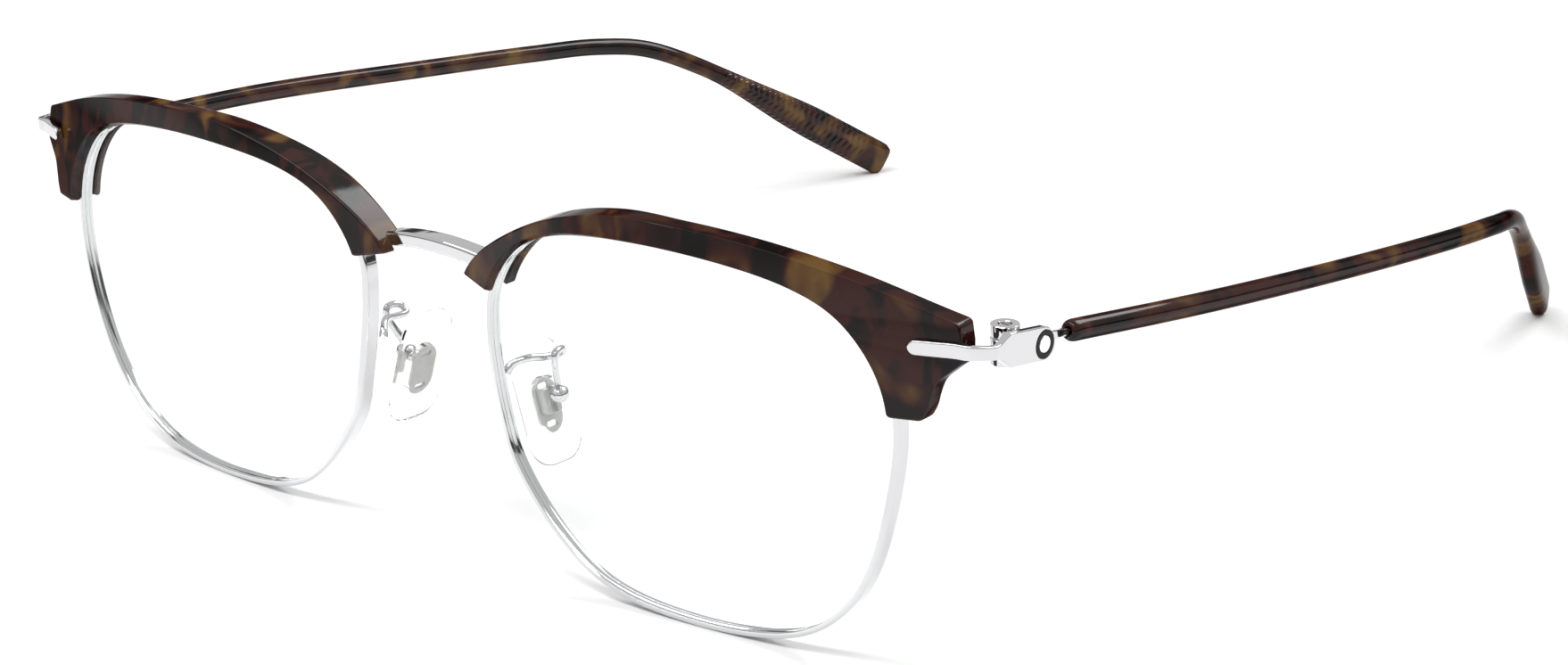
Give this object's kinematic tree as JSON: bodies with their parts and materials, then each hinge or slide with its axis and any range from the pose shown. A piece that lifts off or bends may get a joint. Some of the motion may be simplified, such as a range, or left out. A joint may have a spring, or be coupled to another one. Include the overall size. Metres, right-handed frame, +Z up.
{
  "type": "half rim eyeglasses",
  "caption": "Half rim browline eyeglasses: dark mottled acetate brows over thin silver metal rims, metal bridge, clear nose pads on wire arms and slim hinged acetate temples.",
  "frame": {"origin": "middle of the width and of the depth, at the height of the surface the glasses stand on", "axes": "+Z up, -Y towards the front of the glasses, +X towards the wearer's left"},
  "size_m": [0.149, 0.1523, 0.045],
  "materials": {
    "polished_metal": "polished silver metal",
    "mottled_acetate": "glossy dark brown acetate with soft amber patches",
    "clear_lens": "clear, polished",
    "clear_pad": "clear, slightly soft",
    "black_inlay": "glossy black"
  },
  "bodies": {
    "front": {"rim_left": "polished_metal", "rim_right": "polished_metal", "lens_left": "clear_lens", "lens_right": "clear_lens", "brow_left": "mottled_acetate", "brow_right": "mottled_acetate", "bridge": "polished_metal", "end_piece_left": "polished_metal", "end_piece_right": "polished_metal", "brow_rivet_left": "polished_metal", "brow_rivet_right": "polished_metal", "plate_disc_left": "black_inlay", "plate_disc_right": "black_inlay", "plate_stud_left": "polished_metal", "plate_stud_right": "polished_metal", "hinge_screw_left": "polished_metal", "hinge_screw_right": "polished_metal", "pad_arm_left": "polished_metal", "pad_arm_right": "polished_metal"},
    "left_arm": {"temple_left": "mottled_acetate", "temple_hinge_left": "polished_metal"},
    "right_arm": {"temple_right": "mottled_acetate", "temple_hinge_right": "polished_metal"},
    "left_pad": {"nose_pad_left": "clear_pad", "pad_insert_left": "polished_metal"},
    "right_pad": {"nose_pad_right": "clear_pad", "pad_insert_right": "polished_metal"}
  },
  "joints": [
    {"name": "left_temple_fold", "type": "hinge", "parent": "front", "child": "left_arm", "pos_m": [0.07, -0.0616, 0.0358], "axis": [0, 0, 1], "range_deg": [0, 85]},
    {"name": "right_temple_fold", "type": "hinge", "parent": "front", "child": "right_arm", "pos_m": [-0.07, -0.0616, 0.0358], "axis": [0, 0, -1], "range_deg": [0, 77]},
    {"name": "left_pad_rock", "type": "hinge", "parent": "front", "child": "left_pad", "pos_m": [0.01208, -0.0653, 0.01894], "axis": [0, 1, 0], "range_deg": [-8, 8]},
    {"name": "right_pad_rock", "type": "hinge", "parent": "front", "child": "right_pad", "pos_m": [-0.01208, -0.0653, 0.01894], "axis": [0, 1, 0], "range_deg": [-8, 8]}
  ]
}
